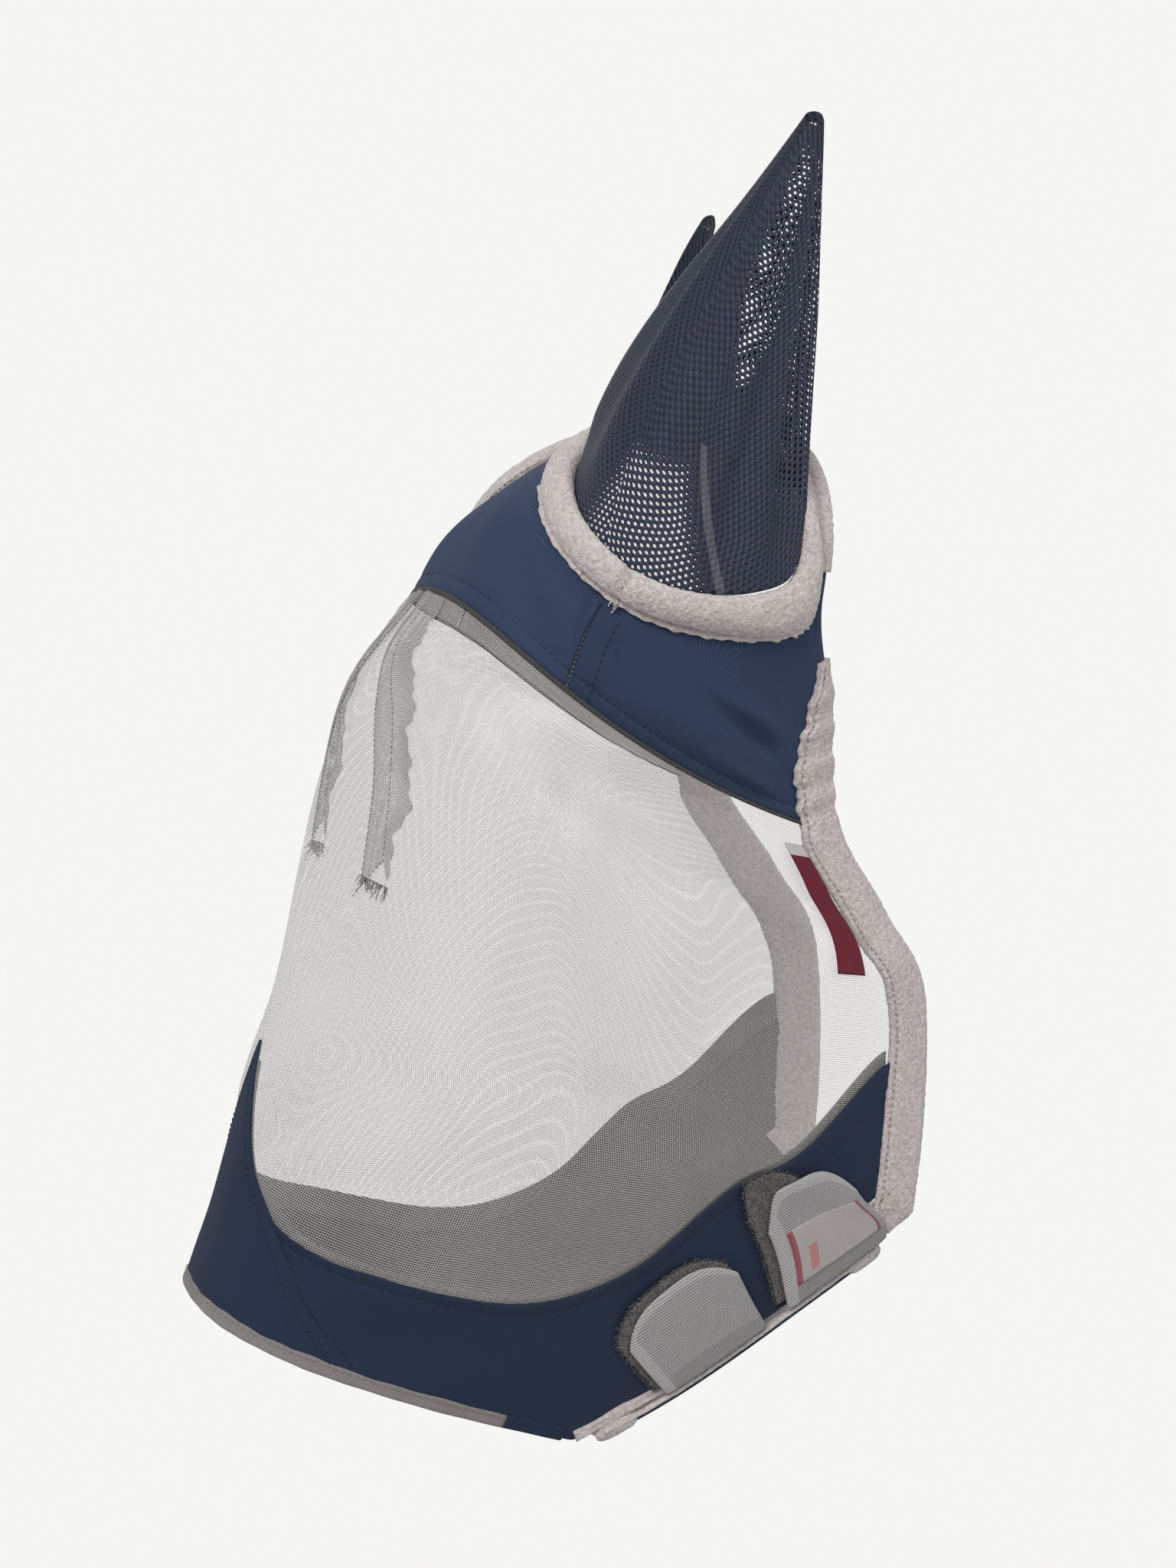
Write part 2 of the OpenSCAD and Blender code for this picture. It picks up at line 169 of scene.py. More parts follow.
def bell(x, wide):
    return np.exp(-(np.asarray(x) / wide) ** 2)


def cubic(a, b, c, d, f):
    return b + 0.5 * f * (c - a + f * (2 * a - 5 * b + 4 * c - d + f * (3 * (b - c) + d - a)))


def along(points, x):
    """smooth curve through points at the numbers x"""
    points = np.asarray(points, float)
    padded = np.concatenate([[2 * points[0] - points[1]], points,
                             [2 * points[-1] - points[-2]]])
    x = np.asarray(x, float)
    i = np.clip(np.floor(x).astype(int), 0, len(points) - 2)
    f = (x - i).reshape(x.shape + (1,) * (points.ndim - 1))
    return cubic(padded[i], padded[i + 1], padded[i + 2], padded[i + 3], f)


def around(points, x):
    """smooth closed curve through points at the numbers x"""
    points, x = np.asarray(points, float), np.asarray(x, float)
    i = np.floor(x).astype(int)
    f = (x - i).reshape(x.shape + (1,) * (points.ndim - 1))
    n = len(points)
    return cubic(points[(i - 1) % n], points[i % n], points[(i + 1) % n],
                 points[(i + 2) % n], f)


def straight(points, x):
    """straight runs between points"""
    points, x = np.asarray(points, float), np.asarray(x, float)
    i = np.clip(np.floor(x).astype(int), 0, len(points) - 2)
    f = (x - i).reshape(x.shape + (1,) * (points.ndim - 1))
    return lerp(points[i], points[i + 1], f)


def skin(u, v):
    """the mask's surface: hoop number u, and side v from -1 left rear edge to 1 right"""
    u, v = np.broadcast_arrays(np.asarray(u, float), np.asarray(v, float))
    h = along(hoops, u)
    w = np.abs(v)[..., None]
    m = 1 - w
    p = (m ** 3 * h[..., 0, :] + 3 * m * m * w * h[..., 1, :]
         + 3 * m * w * w * h[..., 2, :] + w ** 3 * h[..., 3, :])
    k = np.where(v > 0, crown_slump * smooth((3 - u) / 1.6), 0)
    w = w[..., 0]
    drop = k * 4 * w * (1 - w)
    reach = np.where(u < 3, smooth((u - 1.9) / 1.1), smooth((6 - u) / 3))
    rise = np.where(v > 0, far_rise * smooth(v / 0.15) * bell(v - 0.6, 0.27) * reach, 0)
    down, back = p[..., 0] + drop - rise, p[..., 1] + drop / 2
    wide = p[..., 2] * (1 - 11.5 * k * w) * np.where(v < 0, -1, 1)
    c, s = math.cos(head_tilt), math.sin(head_tilt)
    return np.stack([back * c - down * s, wide, -down * c - back * s], -1)


def unit(p):
    return p / np.maximum(np.linalg.norm(p, axis=-1, keepdims=True), 1e-12)


def out(u, v):
    return unit(np.cross(skin(u, v + 0.01) - skin(u, v - 0.01),
                         skin(u + 0.04, v) - skin(u - 0.04, v)))


def at(u, v, d=0.0):
    """a point d outside the surface"""
    u, v = np.asarray(u, float), np.asarray(v, float)
    return skin(u, v) + np.asarray(d, float)[..., None] * out(u, v)


def on(uv, d):
    """the same for rows of (hoop, side)"""
    return at(uv[:, 0], uv[:, 1], d)


def lay(across, rows, place, roll=False, ring=False):
    """A flat grid laid on a shape by place(a, b), a across and b along from 0 to 1, with
    its own lengths in metres as the UV map. roll closes it to a solid, ring joins its ends."""
    bm = bmesh.new()
    bmesh.ops.create_grid(bm, x_segments=across, y_segments=rows, size=0.5)
    flat = np.array([vert.co[:2] for vert in bm.verts]) + 0.5
    points = place(flat[:, 0], flat[:, 1])
    for vert, point in zip(bm.verts, points):
        vert.co = point
    grid = points.reshape(rows + 1, across + 1, 3)
    x, y = np.zeros((2, rows + 1, across + 1))
    x[:, 1:] = np.linalg.norm(np.diff(grid, axis=1), axis=2).cumsum(1)
    x -= x[:, across // 2, None]
    y[1:] = np.linalg.norm(np.diff(grid, axis=0), axis=2).cumsum(0)
    lengths = np.stack([x.ravel(), y.ravel()], -1)
    metric, share = bm.loops.layers.uv.new("cloth"), bm.loops.layers.uv.new("share")
    bm.verts.index_update()
    for face in bm.faces:
        for loop in face.loops:
            loop[metric].uv = lengths[loop.vert.index]
            loop[share].uv = flat[loop.vert.index]
    if roll or ring:
        bmesh.ops.remove_doubles(bm, verts=bm.verts, dist=1e-6)
    if roll and not ring:
        ends = [e for e in bm.edges if e.is_boundary]
        bmesh.ops.holes_fill(bm, edges=ends, sides=0)
    if roll:
        bmesh.ops.recalc_face_normals(bm, faces=bm.faces)
    return bm


def thicken(piece, thick, offset=-1.0):
    wall = piece.modifiers.new("thickness", "SOLIDIFY")
    wall.thickness = thick
    wall.offset = offset
    wall.use_even_offset = False
    return piece


def fasten(piece, body, slot, *nodes):
    """the piece rides on a body and stands for its CAD nodes, which it hides; slot is not used"""
    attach(piece, body)
    if nodes:
        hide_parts(*nodes)


class Dye:
    """A socket in a material's nodes. Sums, products and comparisons add Math nodes."""

    def __init__(self, tree, socket=None):
        self.tree = tree
        self.socket = socket

    def node(self, kind, settings=None, values=None, give=0):
        made = self.tree.nodes.new("ShaderNode" + kind)
        for name, value in (settings or {}).items():
            setattr(made, name, value)
        for name, value in (values or {}).items():
            if isinstance(value, Dye):
                self.tree.links.new(value.socket, made.inputs[name])
            else:
                made.inputs[name].default_value = value
        return Dye(self.tree, made.outputs[give] if made.outputs else None)

    def maths(self, operation, *others):
        return self.node("Math", {"operation": operation},
                         dict(enumerate((self, *others))))

    def mix(self, share, a, b):
        """colour a to colour b by share"""
        return self.node("Mix", {"data_type": "RGBA"}, {0: share, 6: a, 7: b}, 2)

    def __add__(self, other):
        return self.maths("ADD", other)

    def __sub__(self, other):
        return self.maths("SUBTRACT", other)

    def __rsub__(self, other):
        return self.maths("MULTIPLY_ADD", -1.0, other)

    def __mul__(self, other):
        return self.maths("MULTIPLY", other)

    def __truediv__(self, other):
        return self.maths("DIVIDE", other)

    def __lt__(self, other):
        return self.maths("LESS_THAN", other)

    def __gt__(self, other):
        return self.maths("GREATER_THAN", other)

    __radd__ = __add__
    __rmul__ = __mul__


def start_finish(name):
    """an empty material, the root of its nodes, and its place on the piece"""
    made = bpy.data.materials.new(name)
    made.use_nodes = True
    made.node_tree.nodes.clear()
    root = Dye(made.node_tree)
    spot = root.node("TexCoord", give=3)
    return made, root, spot


def lengths_of(root, map_name="cloth"):
    """metres across and along the cloth"""
    split = root.node("UVMap", {"uv_map": map_name})
    split = root.node("SeparateXYZ", {}, {0: split})
    return split, Dye(root.tree, split.socket.node.outputs[1])


full_turn = 6.283


def grain(root, spot, scale, detail=2.0):
    return root.node("TexNoise", {}, {"Vector": spot, "Scale": scale, "Detail": detail})


def ridges(x, pitch):
    """-1 to 1 over threads that lie side by side"""
    return (x * (full_turn / pitch)).maths("SINE")


def end_finish(root, colour, rough, height=None, depth=0.0003, alpha=None, sheen=0.0,
               sheen_rough=0.5, shine=0.3):
    values = {"Base Color": colour, "Roughness": rough, "Sheen Weight": sheen,
              "Sheen Roughness": sheen_rough, "Specular IOR Level": shine}
    if height is not None:
        values["Normal"] = root.node("Bump", {}, {"Height": height, "Distance": depth,
                                                  "Strength": 1.0})
    if alpha is not None:
        values["Alpha"] = alpha
    shader = root.node("BsdfPrincipled", {}, values)
    root.node("OutputMaterial", {}, {"Surface": shader})


net_pitch = 0.00115


def gauze(name, colour, weft, warp, shade=0.82):
    """woven net: weft and warp are the threads' shares of the pitch"""
    made, root, spot = start_finish(name)
    x, y = lengths_of(root)
    a = (x / net_pitch).maths("PINGPONG", 0.5)
    b = (y / net_pitch).maths("PINGPONG", 0.5)
    uneven = grain(root, spot, 900) * 0.06 - 0.03
    threads = (a < uneven + warp / 2).maths("MAXIMUM", b < uneven + weft / 2)
    worn = grain(root, spot, 35)
    dark = tuple(shade * c for c in colour)
    tone = root.mix(worn, (*dark, 1), (*colour, 1))
    end_finish(root, tone, 0.8, alpha=threads, sheen=0.1, shine=0.15)
    return made


net_white = gauze("net_white", (0.68, 0.66, 0.645), 0.13, 0.10)


def net_ripple(u, v):
    """soft folds below the brow seam and beside the jaw, and the sag of the thin cloth"""
    w = np.abs(v)
    top = bell(u - 3.1, 1.1)
    folds = 0.0016 * top * np.sin(26 * w + 3 * u) * smooth((w - 0.2) / 0.2)
    slack = 0.0013 * np.sin(3.1 * u + 7 * v) * np.sin(9 * v + 0.6 * u)
    long_fold = 0.0028 * bell(w - 0.5 + 0.02 * (u - 4), 0.035) * bell(u - 4.3, 1.2)
    hold = smooth((u - 3.02) / 0.25) * smooth((1 - w) / 0.06)
    soft = 0.0024 * bell(u - 4.6, 0.7) * bell(w - 0.62, 0.12) * np.sin(38 * w + 1.2 * u)
    return (folds + slack + long_fold + soft) * hold


def net_place(a, b):
    v = 2 * a - 1
    t = np.abs(v)
    edge = along(net_edge, 14 * t)
    b = 1.035 * b
    u = lerp(3.02, edge[:, 0] - 0.02, b)
    side = np.sign(v) * lerp(t, edge[:, 1], b)
    under_band = smooth((b - 0.975) / 0.025)
    return at(u, side, net_ripple(u, side) * smooth((1 - b) / 0.06) - 0.0002
              - 0.0012 * under_band)


face_net = keep("face_net", lay(236, 92, net_place), net_white)
thicken(face_net, 0.00035, 0)
fasten(face_net, "mask", "face_mesh", "face_mesh")

# ---- Darts ----
# A pleat each side of the middle takes up the net under the brow: net folded double and
# sewn flat with two rows of thread. The lower end is cut off raw and left to fray.
dart_front = [(3.04, 0.012), (3.75, 0.03), (4.35, 0.095), (4.95, 0.168), (5.5, 0.205)]
dart_sewn = [(3.04, 0.04), (3.75, 0.06), (4.35, 0.155), (4.9, 0.208), (5.34, 0.24)]
dart_rear = [(3.04, 0.1), (3.7, 0.13), (4.25, 0.205), (4.9, 0.25), (5.42, 0.262)]
net_double = gauze("net_double", (0.50, 0.475, 0.46), 0.34, 0.18)
thread_pale, root, spot = start_finish("pale_thread")
end_finish(root, root.mix(grain(root, spot, 600), (0.20, 0.19, 0.185, 1),
                          (0.34, 0.32, 0.31, 1)), 0.6)


def sample(where, reach, rows):
    return np.stack([np.interp(where, reach, rows[:, k]) for k in range(3)], -1)


def evenly(points, pitch):
    """points along a line at equal steps, with the direction at each"""
    reach = np.concatenate([[0], np.linalg.norm(np.diff(points, axis=0), axis=1).cumsum()])
    steps = np.arange(pitch / 2, reach[-1], pitch)
    ahead = sample(steps + 1e-4, reach, points) - sample(steps - 1e-4, reach, points)
    return sample(steps, reach, points), unit(ahead), steps / reach[-1]


def sew(name, lines, finish, slot, pitch=0.0036, long=0.0025, thick=0.00055):
    """raised stitches along lines, each a row of points and the outward directions there"""
    bm = bmesh.new()
    for points, outward in lines:
        found, ahead, share = evenly(points, pitch)
        whole = np.linspace(0, 1, len(points))
        up = unit(sample(share, whole, outward))
        side = unit(np.cross(up, ahead))
        for p, f, s, n in zip(found, ahead, side, up):
            turn = Matrix((f * long / 2, s * thick / 2, n * thick / 2)).transposed().to_4x4()
            turn.translation = p + n * (0.1 * thick)
            bmesh.ops.create_icosphere(bm, subdivisions=1, radius=1, matrix=turn)
    fasten(keep(name, bm, finish), "mask", slot)


def seam(uv, d):
    """a line of (hoop, side) points as places d outside the surface, and outward there"""
    return on(uv, d), out(uv[:, 0], uv[:, 1])


def tuft(name, roots, ways, finish, slot, long, thick, seed=3):
    """frayed ends: a few curled threads from each root"""
    rng = np.random.default_rng(seed)
    bm = bmesh.new()
    for p, way in zip(roots, ways):
        reach = long * rng.uniform(0.5, 1.1)
        way = unit(way + rng.normal(0, 0.35, 3))
        curl = rng.normal(0, 0.35, 3)
        size = thick * rng.uniform(0.7, 1.2)
        here, rings = np.array(p, float), []
        for k in range(5):
            step = Vector(way).to_track_quat("Z", "Y").to_matrix().to_4x4()
            step.translation = here
            rings.append(bmesh.ops.create_circle(bm, segments=4, radius=size * (1 - 0.13 * k),
                                                 matrix=step)["verts"])
            here = here + way * reach / 4
            way = unit(way + curl * 0.5)
        edges = [list({e for v in r for e in v.link_edges}) for r in rings]
        for low, high in zip(edges, edges[1:]):
            bmesh.ops.bridge_loops(bm, edges=low + high)
    fasten(keep(name, bm, finish), "mask", slot)


for side, hand in hands:
    def dart_place(a, b):
        front, rear = along(dart_front, 4 * b), along(dart_rear, 4 * b)
        sewn = along(dart_sewn, 4 * b)
        torn = 0.008 * np.sin(17 * b + 1) + 0.006 * np.sin(41 * b) + 0.004 * np.sin(97 * b)
        rear = rear + np.stack([0 * b, torn * smooth(b / 0.1)], -1)
        q = np.where((a < 0.5)[:, None], lerp(front, sewn, 2 * a[:, None]),
                     lerp(sewn, rear, 2 * a[:, None] - 1))
        fold = 0.0019 * np.sin(math.pi * np.clip(2 * a, 0, 1)) ** 0.5 * (a < 0.5)
        wavy = 0.0005 * np.sin(23 * b) * (a > 0.5)
        return on(q * (1, side), 0.0007 + fold + wavy)

    pleat = keep("dart_" + hand + "_pleat", lay(16, 70, dart_place), net_double)
    thicken(pleat, 0.0004)
    fasten(pleat, "mask", "grey_seam", "dart_" + hand)
    rows = []
    for line, thread_d in ((dart_front, 0.0012), (dart_sewn, 0.0011)):
        q = along(line, np.linspace(0, 4, 60))
        rows.append(seam(q * (1, side), thread_d))
    ends = np.array([(5.34, 0.24), (5.58, 0.19)])
    q = lerp(ends[0], ends[1], np.linspace(0, 1, 12)[:, None])
    rows.append(seam(q * (1, side), 0.0016))
    sew("dart_" + hand + "_stitches", rows, thread_pale, "grey_seam", pitch=0.0027,
        long=0.0021, thick=0.0006)
    spread = np.linspace(0.197, 0.262, 26)
    roots = at(5.45 + 0 * spread, side * spread, 0.001)
    ways = unit(skin(5.6 + 0 * spread, side * spread) - skin(5.45 + 0 * spread, side * spread))
    tuft("dart_" + hand + "_fray", roots, ways, thread_pale, "grey_seam", long=0.008,
         thick=0.00035)

# ---- Brow and crown ----
# Three navy stretch panels make the band round the ears: one over the brow and poll, one
# behind each ear. The seams are topstitched, and the rear elastic gathers the crown.
cloth_thick, backing_thick, label_thick = 0.0012, 0.001, 0.0006
ear_hole = np.array([
    (2.05, 0.45), (1.95, 0.6), (1.65, 0.73), (1.2, 0.83), (0.7, 0.87), (0.32, 0.8),
    (0.22, 0.6), (0.25, 0.38), (0.5, 0.16), (1.05, 0.08), (1.6, 0.12), (1.95, 0.28)])
hole_mid = np.array((1.13, 0.47))
brow_mid = [0, 0.12, 0.2, 0.3, 0.45, 0.75, 1.1, 1.45, 1.8, 2.05, 2.3, 2.65, 3]
crown_rim = [(3, 0.505), (3, 0.62), (3, 0.74), (3, 0.87), (3, 1), (2.4, 1), (1.7, 1),
             (1, 1), (0.45, 1), (0, 1), (0, 0.86), (0, 0.68), (0, 0.505)]


def stretch_cloth(name, colour, bright):
    """fine diagonal knit with a soft sheen"""
    made, root, spot = start_finish(name)
    x, y = lengths_of(root)
    twill = ridges(x + y, 0.0009)
    fine = grain(root, spot, 1600, 1)
    cloudy = grain(root, spot, 22, 3)
    dull = tuple(c * 0.86 for c in colour)
    tone = root.mix(cloudy, (*dull, 1), (*colour, 1))
    tone = root.mix((twill * 0.5 + 0.5) * 0.3 + fine * 0.25, tone, (*bright, 1))
    end_finish(root, tone, 0.72 + fine * 0.16, height=twill * 0.25 + fine, depth=0.00018,
               sheen=0.05, sheen_rough=0.4, shine=0.18)
    return made


navy = stretch_cloth("navy_stretch", (0.029, 0.047, 0.102), (0.062, 0.088, 0.165))
thread_navy, root, spot = start_finish("navy_thread")
end_finish(root, root.mix(grain(root, spot, 500), (0.012, 0.017, 0.034, 1),
                          (0.024, 0.032, 0.058, 1)), 0.5)


def hole(k):
    return hole_mid + 0.94 * (around(ear_hole, k) - hole_mid)


def crown_folds(u, v):
    """gathers from the rear elastic, the pinch of the crown seam, soft pulls below the ear"""
    w = np.abs(v)
    near_rear = bell(1 - w, 0.2) * smooth((3.0 - u) / 0.35) * smooth(u / 0.5)
    near_rear = near_rear * smooth((0.93 - w) / 0.06)
    gathers = 0.0042 * near_rear * np.sin(7.2 * u + 5.5 * (1 - w) + 0.8 * np.sin(3 * u))
    gathers += 0.0014 * near_rear * np.sin(16.5 * u + 2.0 - 9 * w)
    from_hole = np.hypot((u - 1.13) / 0.92, (w - 0.47) / 0.4)
    line = np.where(u > 1.5, 0.5 + 0.012 * (u - 2), 9)
    pinch = -0.0011 * bell(w - line, 0.013)
    slack = 0.0016 * bell(u - 2.45, 0.5) * np.sin(12 * w + 2.2 * u) * smooth((w - 0.5) / 0.2)
    brow = 0.0022 * bell(u - 2.35, 0.45) * np.sin(17 * w - 2.6 * u) * smooth(w / 0.15)
    rolled = -0.0012 * smooth((u - 2.93) / 0.07)
    groove = -0.0006 * bell(u - 2.8, 0.035)
    free = smooth((3 - u) / 0.12) * smooth((from_hole - 1.06) / 0.3)
    return (gathers + slack + brow * (w < 0.6)) * free + pinch + groove + rolled


def brow_place(a, b):
    w, t = 12 * b, 2 * a - 1
    low = lerp(np.array([0, 0.5]), hole(6.5), np.clip(w, 0, 1)[:, None])
    middle = hole(6.5 + np.clip(w - 1, 0, 9) / 9 * 6)
    high = lerp(hole(0.5), np.array([3, 0.5]), np.clip((w - 10) / 2, 0, 1)[:, None])
    edge = np.where((w < 1)[:, None], low, np.where((w < 10)[:, None], middle, high))
    u = lerp(straight(brow_mid, w), edge[:, 0], np.abs(t))
    v = edge[:, 1] * t
    return at(u, v, crown_folds(u, v))


lining, root, spot = start_finish("crown_lining")
end_finish(root, root.mix(grain(root, spot, 700), (0.42, 0.40, 0.39, 1),
                          (0.56, 0.535, 0.52, 1)), 0.9)


def lined(piece):
    """the inner face is a pale lining"""
    piece.data.materials.append(lining)
    thicken(piece, cloth_thick).modifiers["thickness"].material_offset = 1


brow_cloth = keep("brow_cloth", lay(110, 96, brow_place), navy)
lined(brow_cloth)
fasten(brow_cloth, "mask", "navy_cloth", "brow_panel")

for side, hand in hands:
    def crown_place(a, b):
        k = 12 * (b if side > 0 else 1 - b)
        q = lerp(straight(crown_rim, k), hole(0.5 + k / 2), a[:, None])
        return on(q * (1, side), crown_folds(q[:, 0], side * q[:, 1]))

    crown_cloth = keep("crown_" + hand + "_cloth", lay(60, 220, crown_place), navy)
    lined(crown_cloth)
    fasten(crown_cloth, "mask", "navy_cloth", "crown_" + hand)


def panel_line(uv, fold=crown_folds, d=0.0):
    """a stitch line on a folded panel"""
    return seam(uv, fold(uv[:, 0], uv[:, 1]) + d)


rows = []
k = np.linspace(0, 1, 160)
for side in (-1, 1):
    rows.append(panel_line(np.stack([0 * k + 2.80, side * k * 0.93], -1)))
    first = hole(0.5) + 0.14 * (np.array([3, 0.5]) - hole(0.5))
    down = lerp(first, np.array([2.97, 0.5]), k[:, None])
    rows.append(panel_line(down * (1, side) + (0, side * 0.055)))
sew("brow_stitches", rows, thread_navy, "navy_cloth", thick=0.0008)
rows = []
for side in (-1, 1):
    down = lerp(first, np.array([3.0, 0.5]), k[:, None])
    rows.append(panel_line(down * (1, side) + (0, side * 0.002)))
sew("crown_seams", rows, thread_navy, "navy_cloth", pitch=0.0022, long=0.0021, thick=0.0009)

# the net's own woven edge shows as a thin dark line under the brow
selvage_dark, root, spot = start_finish("net_selvage")
x, y = lengths_of(root)
rib = ridges(y, 0.0012)
end_finish(root, root.mix(rib * 0.5 + 0.5, (0.045, 0.045, 0.05, 1), (0.12, 0.115, 0.115, 1)),
           0.8, height=rib, depth=0.0002)


def selvage_place(a, b):
    v = (2 * b - 1) * 0.97
    return at(lerp(3.026, 2.97, a), v, 0.0003 + 0 * b)


selvage = keep("brow_selvage", lay(2, 240, selvage_place), selvage_dark)
thicken(selvage, 0.0005)
fasten(selvage, "mask", "grey_seam")

# ---- Nose and cheek bands ----
# The lower edge is a nose panel and two cheek bands of the same navy cloth, lined with
# soft grey backing. The band seams are turned and topstitched. Their navy is painted shade:
# a darker copy for the pieces that face down, away from the light.
nose_edge = [(6.85, 0.004), (7.35, 0.05), (7.85, 0.13), (8.3, 0.25), (8.87, 0.38),
             (9.44, 0.51), (10, 0.64)]
band_edge = [(10, 0.64), (10, 0.72), (10, 0.81), (10, 0.9), (10, 1), (9.6, 1), (9.15, 1),
             (8.7, 1), (8.3, 1), (7.9, 1), (7.45, 1), (7, 1)]
# painted shade: the same navy cloth, darker, for the lower pieces that face down away from the
# light
navy_painted_shade = stretch_cloth("navy_stretch_painted_shade", (0.018, 0.030, 0.062), (0.038, 0.054, 0.10))
backing, root, spot = start_finish("grey_backing")
x, y = lengths_of(root)
ribs = ridges(x, 0.0016)
across_ribs = ridges(y, 0.0016)
knit = ribs * 0.25 + across_ribs * 0.25 + 0.5
end_finish(root, root.mix(knit, (0.085, 0.084, 0.084, 1), (0.15, 0.148, 0.147, 1)), 0.9,
           height=knit, depth=0.0003, sheen=0.1)


def nose_folds(u, v):
    return 0.0005 * bell(u - 9.2, 0.7) * np.sin(11 * v + 2 * u)


def nose_place(a, b, d=0.0):
    edge = along(nose_edge, 6 * b)
    u, v = edge[:, 0], edge[:, 1] * (2 * a - 1) * 1.012
    return at(u, v, d + nose_folds(u, v))


nose_cloth = keep("nose_cloth", lay(70, 70, nose_place), navy_painted_shade)
thicken(nose_cloth, cloth_thick)
fasten(nose_cloth, "mask", "navy_cloth", "nose_panel")
nose_backing = keep("nose_backing", lay(40, 40, lambda a, b: nose_place(
    0.01 + 0.98 * a, 0.06 + 0.94 * b, d=-0.0016)), backing)
thicken(nose_backing, backing_thick)
fasten(nose_backing, "mask", "grey_lining", "nose_lining")


def cheek_folds(u, v):
    w = np.abs(v)
    return (0.0012 * bell(u - 9.1, 0.8) * np.sin(15 * w + 1.5 * u)
            - 0.0008 * bell(u - 8.2, 0.4) * np.sin(9 * w)) * smooth((10 - u) / 0.3)


def edge_folds(u, v):
    """the folds as they die out towards the net"""
    return 0.32 * cheek_folds(u, v)


for side, hand in hands:
    def cheek_place(a, b, high=0.0, low=1.0, d=0.0):
        k = 11 * (b if side > 0 else 1 - b)
        top, foot = along(net_edge, 3 + k), straight(band_edge, k)
        share = lerp(high, low, 1 - a)
        q = lerp(top, foot, share[:, None])
        u, v = q[:, 0], side * q[:, 1]
        rolled = 0.0006 * bell(share, 0.05) - 0.0006 * bell(share - 0.075, 0.02)
        return at(u, v, d + cheek_folds(u, v) * smooth(share / 0.2) + rolled)

    cheek_cloth = keep("cheek_" + hand + "_cloth", lay(44, 150, cheek_place), navy_painted_shade)
    thicken(cheek_cloth, cloth_thick)
    fasten(cheek_cloth, "mask", "navy_cloth", "cheek_band_" + hand)
    cheek_backing = keep("cheek_" + hand + "_backing", lay(
        20, 110, lambda a, b: cheek_place(a, b, high=0.02, low=0.97, d=-0.0015)), backing)
    thicken(cheek_backing, backing_thick)
    fasten(cheek_backing, "mask", "grey_lining", "cheek_lining_" + hand)

rows = []
for side in (-1, 1):
    k = np.linspace(3, 14, 260)
    top, foot = along(net_edge, k), straight(band_edge, k - 3)
    rows.append(panel_line(lerp(top, foot, 0.075) * (1, side), edge_folds, -0.0004))
    k = np.linspace(0.15, 3, 110)
    q = along(nose_edge, k)
    rows.append(panel_line((q + (0.09, -0.012)) * (1, side), nose_folds))
    k = np.linspace(3, 6, 90)
    q = along(nose_edge, k)
    rows.append(panel_line((q + (0.07, -0.03)) * (1, side), nose_folds))
    rows.append(panel_line((q + (0.0, 0.001)) * (1, side), nose_folds, -0.0002))
sew("band_stitches", rows, thread_navy, "navy_cloth", thick=0.0008)

# ---- Fleece edging ----
# Soft pale fleece: a rolled collar round each ear hole, a folded binding down both rear
# edges and over the poll. An elastic in the rear binding gathers it beside the crown.


def fleece_finish(name, colour, shadow):
    made, root, spot = start_finish(name)
    curls = root.node("TexVoronoi", {}, {"Vector": spot, "Scale": 620.0, "Randomness": 1.0})
    clumps = grain(root, spot, 520, 3)
    fuzz = grain(root, spot, 2300, 2)
    pits = clumps * 0.6 + fuzz * 0.4
    tone = root.mix((pits - 0.38) * 3.4, (*shadow, 1), (*colour, 1))
    end_finish(root, tone, 0.95, height=pits + curls * 0.5, depth=0.0009, sheen=0.35,
               sheen_rough=0.6, shine=0.12)
    return made


fleece = fleece_finish("fleece", (0.84, 0.77, 0.75), (0.50, 0.445, 0.43))


def raise_pile(bm, high=0.0006, scale=560):
    """lumps of pile in the surface itself"""
    bm.normal_update()
    for vert in bm.verts:
        p = vert.co * scale
        lump = noise.noise(p) * 0.75 + noise.noise(p * 2.7) * 0.45
        vert.co = vert.co + vert.normal * high * lump


def fleece_roll(name, bm, fill, *nodes):
    """a stuffed edging of fleece on the mask"""
    raise_pile(bm)
    made = keep(name, bm, fleece)
    fasten(made, "mask", "fleece", *nodes)


collar_form = np.array([  # share of the hole, height
    (0.765, 0.0035), (0.745, 0.0075), (0.77, 0.0112), (0.84, 0.0122), (0.92, 0.0108),
    (0.985, 0.0068), (1.005, 0.0028), (0.95, 0.0006), (0.85, 0.0006)])


def hole_edge(k, f, side):
    turned = k if side < 0 else -k
    q = hole_mid + f[..., None] * (around(ear_hole, turned) - hole_mid)
    return q * (1, side)


